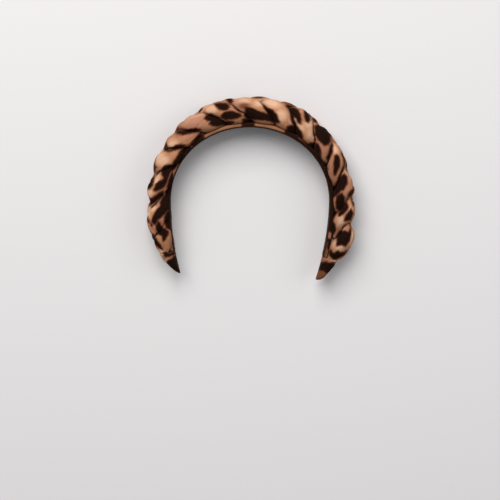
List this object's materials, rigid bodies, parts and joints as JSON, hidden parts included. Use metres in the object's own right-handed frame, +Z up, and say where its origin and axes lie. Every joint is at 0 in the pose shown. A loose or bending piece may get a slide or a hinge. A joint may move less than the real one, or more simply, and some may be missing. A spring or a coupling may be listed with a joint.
{
  "type": "braided padded headband",
  "caption": "Padded headband of three stuffed fabric strands plaited along a covered, open arch-shaped band; holds hair back on a head",
  "frame": {"origin": "middle of the headband's outline, on the surface that it lies on", "axes": "+X across the head from one end to the other, +Y from the open ends to the crown, +Z up across the band's width, to the front edge"},
  "size_m": [0.206, 0.1814, 0.04],
  "materials": {
    "braid_fabric": "soft short-pile cloth with an animal print",
    "cover_fabric": "the same printed cloth, pulled smooth over the band"
  },
  "bodies": {
    "root": {"band": "cover_fabric", "strand_a": "braid_fabric", "strand_b": "braid_fabric", "strand_c": "braid_fabric", "tip_left": "cover_fabric", "tip_right": "cover_fabric"}
  },
  "joints": []
}
